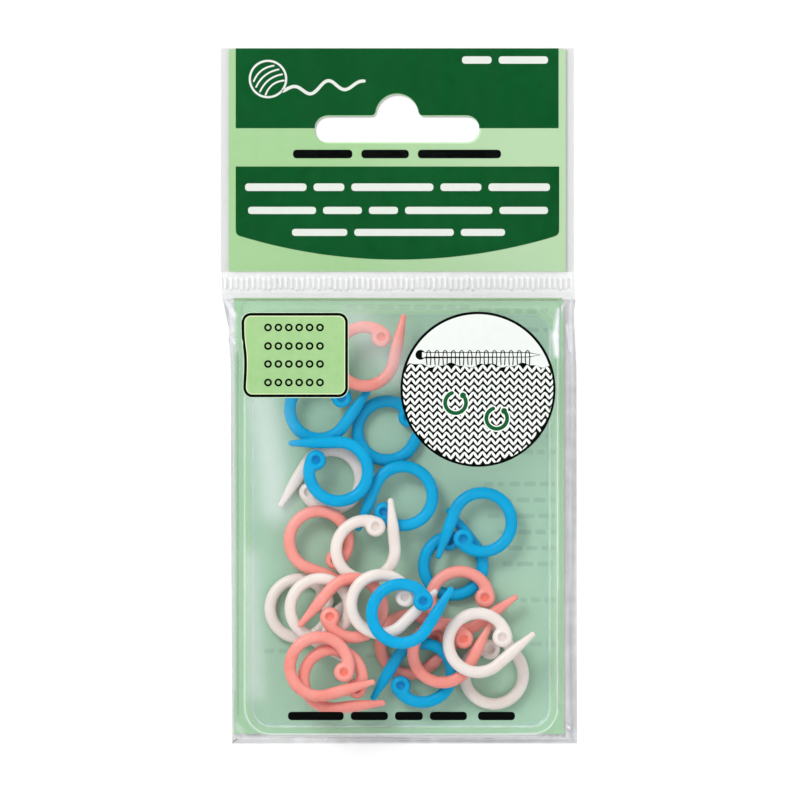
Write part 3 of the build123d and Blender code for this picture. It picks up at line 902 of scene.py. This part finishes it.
# ---------------------------------------------------------------- the markers
RING_RADIUS, WIRE_W, WIRE_H, EYE_R, SPLIT, TAIL = 6.8, 2.3, 2.0, 1.95, 0.25, 9.6
ROOT_W = 2 * EYE_R * 0.82  # the wire's width where it leaves the eye
TIP_W, TIP_H, TIP_ROUND = 1.1, 1.0, 0.45
LIP_R, LIP_LOW, PIT_FLOOR, PIT_DEPTH = 0.95, 1.2, 1.5, 0.5
VOXEL = 0.11
CENTRE = RING_RADIUS - WIRE_W / 2
EYE_X = RING_RADIUS - EYE_R
SWEEP = 360 - math.degrees(math.acos((CENTRE - (EYE_R + SPLIT + WIRE_W / 2)) / EYE_X))
EYE_PROFILE = [  # radius and height from the dimple's middle over the lip and down the eye's side
    (0.0, 1.48), (0.5, 1.5), (0.72, 1.62), (0.86, 1.9), (0.98, 2.05), (1.12, 2.07), (1.28, 2.0), (1.55, 1.93),
    (1.78, 1.72), (1.91, 1.4), (EYE_R, 1.0), (1.91, 0.6), (1.76, 0.26), (1.5, 0.06), (1.2, 0.0), (0.0, 0.0),
]
ANGLES = {  # where each marker's eye points, in degrees
    "white_1": 33.5, "white_2": 210.0, "white_3": 18.0, "white_4": 98.5,
    "white_5": 67.0, "white_6": 297.5, "white_7": 12.5, "white_8": 16.5,
    "blue_1": 33.0, "blue_2": 98.5, "blue_3": 27.0, "blue_4": 220.0,
    "blue_5": 211.0, "blue_6": 221.5, "blue_7": 153.0, "blue_8": 30.0,
    "pink_1": 11.5, "pink_2": 311.5, "pink_3": 7.5, "pink_4": 49.5,
    "pink_5": 34.5, "pink_6": 201.5, "pink_7": 338.0, "pink_8": 347.5,
}


def wire_stations():
    """The wire's middle, its sideways direction, width and height, round the ring and out along the tail."""
    stations = []
    for i in range(91):
        angle = SWEEP * i / 90
        width = WIRE_W + (ROOT_W - WIRE_W) * (1 - smooth_step(6, 32, angle))
        turn = math.radians(angle)
        out = Vector((math.cos(turn), math.sin(turn), 0))
        stations.append((out * (RING_RADIUS - width / 2), out, width, WIRE_H))
    turn = math.radians(SWEEP)
    out, along = Vector((math.cos(turn), math.sin(turn), 0)), Vector((-math.sin(turn), math.cos(turn), 0))
    for i in range(1, 31):
        t = i / 30
        reach = TAIL * t
        taper = smooth_step(0.3, 1.02, t)
        width, height = WIRE_W + (TIP_W - WIRE_W) * taper, WIRE_H + (TIP_H - WIRE_H) * taper
        cap = max(0.0, (reach - (TAIL - TIP_ROUND)) / TIP_ROUND)
        close = math.sqrt(max(0.0, 1 - cap * cap)) * 0.96 + 0.04
        stations.append((out * CENTRE + along * reach, out, width * close, height * close))
    return stations


def marker_mesh():
    """One marker in millimetres: its wire and its round eye, merged into one skin."""
    sides, spin = 28, 40
    verts = []
    stations = wire_stations()
    for centre, across, width, height in stations:
        for k in range(sides):
            t = 2 * math.pi * k / sides
            c, s = math.cos(t), math.sin(t)
            c, s = math.copysign(abs(c) ** 0.9, c), math.copysign(abs(s) ** 0.9, s)
            p = centre + across * (c * width / 2)
            verts.append((p.x, p.y, WIRE_H / 2 + s * height / 2))
    rows = len(stations)
    faces = quads(rows, sides)
    faces.append(tuple(range(sides))[::-1])
    faces.append(tuple((rows - 1) * sides + k for k in range(sides)))
    base = len(verts)
    for radius, z in EYE_PROFILE:
        for k in range(spin):
            t = 2 * math.pi * k / spin
            verts.append((EYE_X + max(radius, 0.001) * math.cos(t), max(radius, 0.001) * math.sin(t), z))
    faces += [(a, d, c, b) for a, b, c, d in quads(len(EYE_PROFILE), spin, base)]
    faces.append(tuple(base + k for k in range(spin)))
    faces.append(tuple(base + (len(EYE_PROFILE) - 1) * spin + k for k in range(spin))[::-1])
    mesh = bpy.data.meshes.new("marker_form")
    mesh.from_pydata(verts, [], faces)
    mesh.update()
    holder = bpy.data.objects.new("marker_form", mesh)
    scene.collection.objects.link(holder)
    merge = holder.modifiers.new("merge", "REMESH")
    merge.mode, merge.voxel_size = "VOXEL", VOXEL
    relax = holder.modifiers.new("relax", "SMOOTH")
    relax.factor, relax.iterations = 0.5, 4
    fewer = holder.modifiers.new("fewer", "DECIMATE")
    fewer.ratio = 0.17
    bpy.context.view_layer.update()
    made = bpy.data.meshes.new_from_object(holder.evaluated_get(bpy.context.evaluated_depsgraph_get()))
    bpy.data.objects.remove(holder)
    return made


def dig_dimple(mesh):
    """Sinks the eye's dimple, which the merged form fills, and marks it for its deeper tone, which is painted shade.
    """
    pit = []
    for v in mesh.vertices:
        r = math.hypot(v.co.x - EYE_X, v.co.y)
        if r < LIP_R and v.co.z > LIP_LOW:
            v.co.z = min(v.co.z, PIT_FLOOR + PIT_DEPTH * smooth_step(0.5, LIP_R, r))
        pit.append(1 - smooth_step(0.55, 1.0, r) if v.co.z > LIP_LOW else 0.0)
    mesh.attributes.new("pit", "FLOAT", "POINT").data.foreach_set("value", pit)


def make_markers():
    """A copy of the marker on each moving body, turned about its joint's place."""
    form = marker_mesh()
    dig_dimple(form)
    for joint in frame["joints"]:
        body = joint["child"]
        short = body.replace("marker_", "")
        x, y = joint["pos_m"][:2]
        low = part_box(body)[0][2]
        mesh = form.copy()
        mesh.name = "split_ring_" + short
        turn = Matrix.Rotation(math.radians(ANGLES[short]), 4, "Z")
        mesh.transform(Matrix.Translation((x, y, low)) @ turn @ Matrix.Scale(MM, 4))
        colour = short.split("_")[0]
        obj = finish_piece("split_ring_" + short, mesh, PLASTICS[colour], colour + "_plastic", body)
        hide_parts(body)


for name, mat in (("header_card", CARD), ("backing_card", BACKING)):
    for slot in nodes[name].material_slots:
        slot.material = mat
make_pouch()
make_tray()
make_sheets()
make_crimp()
make_header_print()
make_label()
make_picture()
make_other_print()
make_markers()


# ---------------------------------------------------------------- stage
def make_floor():
    """A pale floor that takes shadows, and that glows a little where the camera sees it."""
    mesh = bpy.data.meshes.new("floor")
    size, low = 3.0, -0.0002
    corners = [(-size, -size, low), (size, -size, low), (size, size, low), (-size, size, low)]
    mesh.from_pydata(corners, [], [(0, 1, 2, 3)])
    floor = bpy.data.objects.new("floor", mesh)
    scene.collection.objects.link(floor)
    mat, tree, out = new_material("pale_floor")
    path = node(tree, "ShaderNodeLightPath")
    seen = path.outputs["Is Camera Ray"]
    for ray in ("Is Glossy Ray", "Is Transmission Ray"):
        seen = maths(tree, "MAXIMUM", seen, path.outputs[ray])
    diffuse = node(tree, "ShaderNodeBsdfDiffuse", Color=(0.86, 0.86, 0.87, 1))
    glow = node(tree, "ShaderNodeEmission", Color=(1, 1, 1, 1), Strength=maths(tree, "MULTIPLY", seen, 0.16))
    both = node(tree, "ShaderNodeAddShader", diffuse.outputs["BSDF"], glow.outputs["Emission"])
    tree.links.new(both.outputs["Shader"], out.inputs["Surface"])
    mesh.materials.append(mat)


def make_light(name, place, size, power):
    """A square lamp that points at the origin."""
    lamp = bpy.data.lights.new(name, "AREA")
    lamp.size, lamp.energy = size, power
    obj = bpy.data.objects.new(name, lamp)
    scene.collection.objects.link(obj)
    obj.location = place
    obj.rotation_mode = "QUATERNION"
    obj.rotation_quaternion = (-Vector(place)).to_track_quat("-Z", "Y")


make_floor()
make_light("key", (-0.42, 0.5, 0.75), 0.35, 3.9)
make_light("fill", (0.6, -0.2, 0.8), 0.8, 0.8)
world = bpy.data.worlds.new("studio")
scene.world = world
world.use_nodes = True
world.node_tree.nodes["Background"].inputs["Color"].default_value = (1, 1, 1, 1)
world.node_tree.nodes["Background"].inputs["Strength"].default_value = 0.85

# The camera looks straight down on the pack, over the photograph's 800 pixels
camera = bpy.data.cameras.new("camera")
camera.type, camera.ortho_scale = "ORTHO", 800 * PX * MM
holder = bpy.data.objects.new("camera", camera)
scene.collection.objects.link(holder)
view_x, view_y = at(400, 400)
holder.location = (view_x * MM, view_y * MM, 0.9)
camera.clip_start, camera.clip_end = 0.01, 10
scene.camera = holder
scene.view_settings.view_transform = "Standard"
scene.cycles.transparent_max_bounces = 24
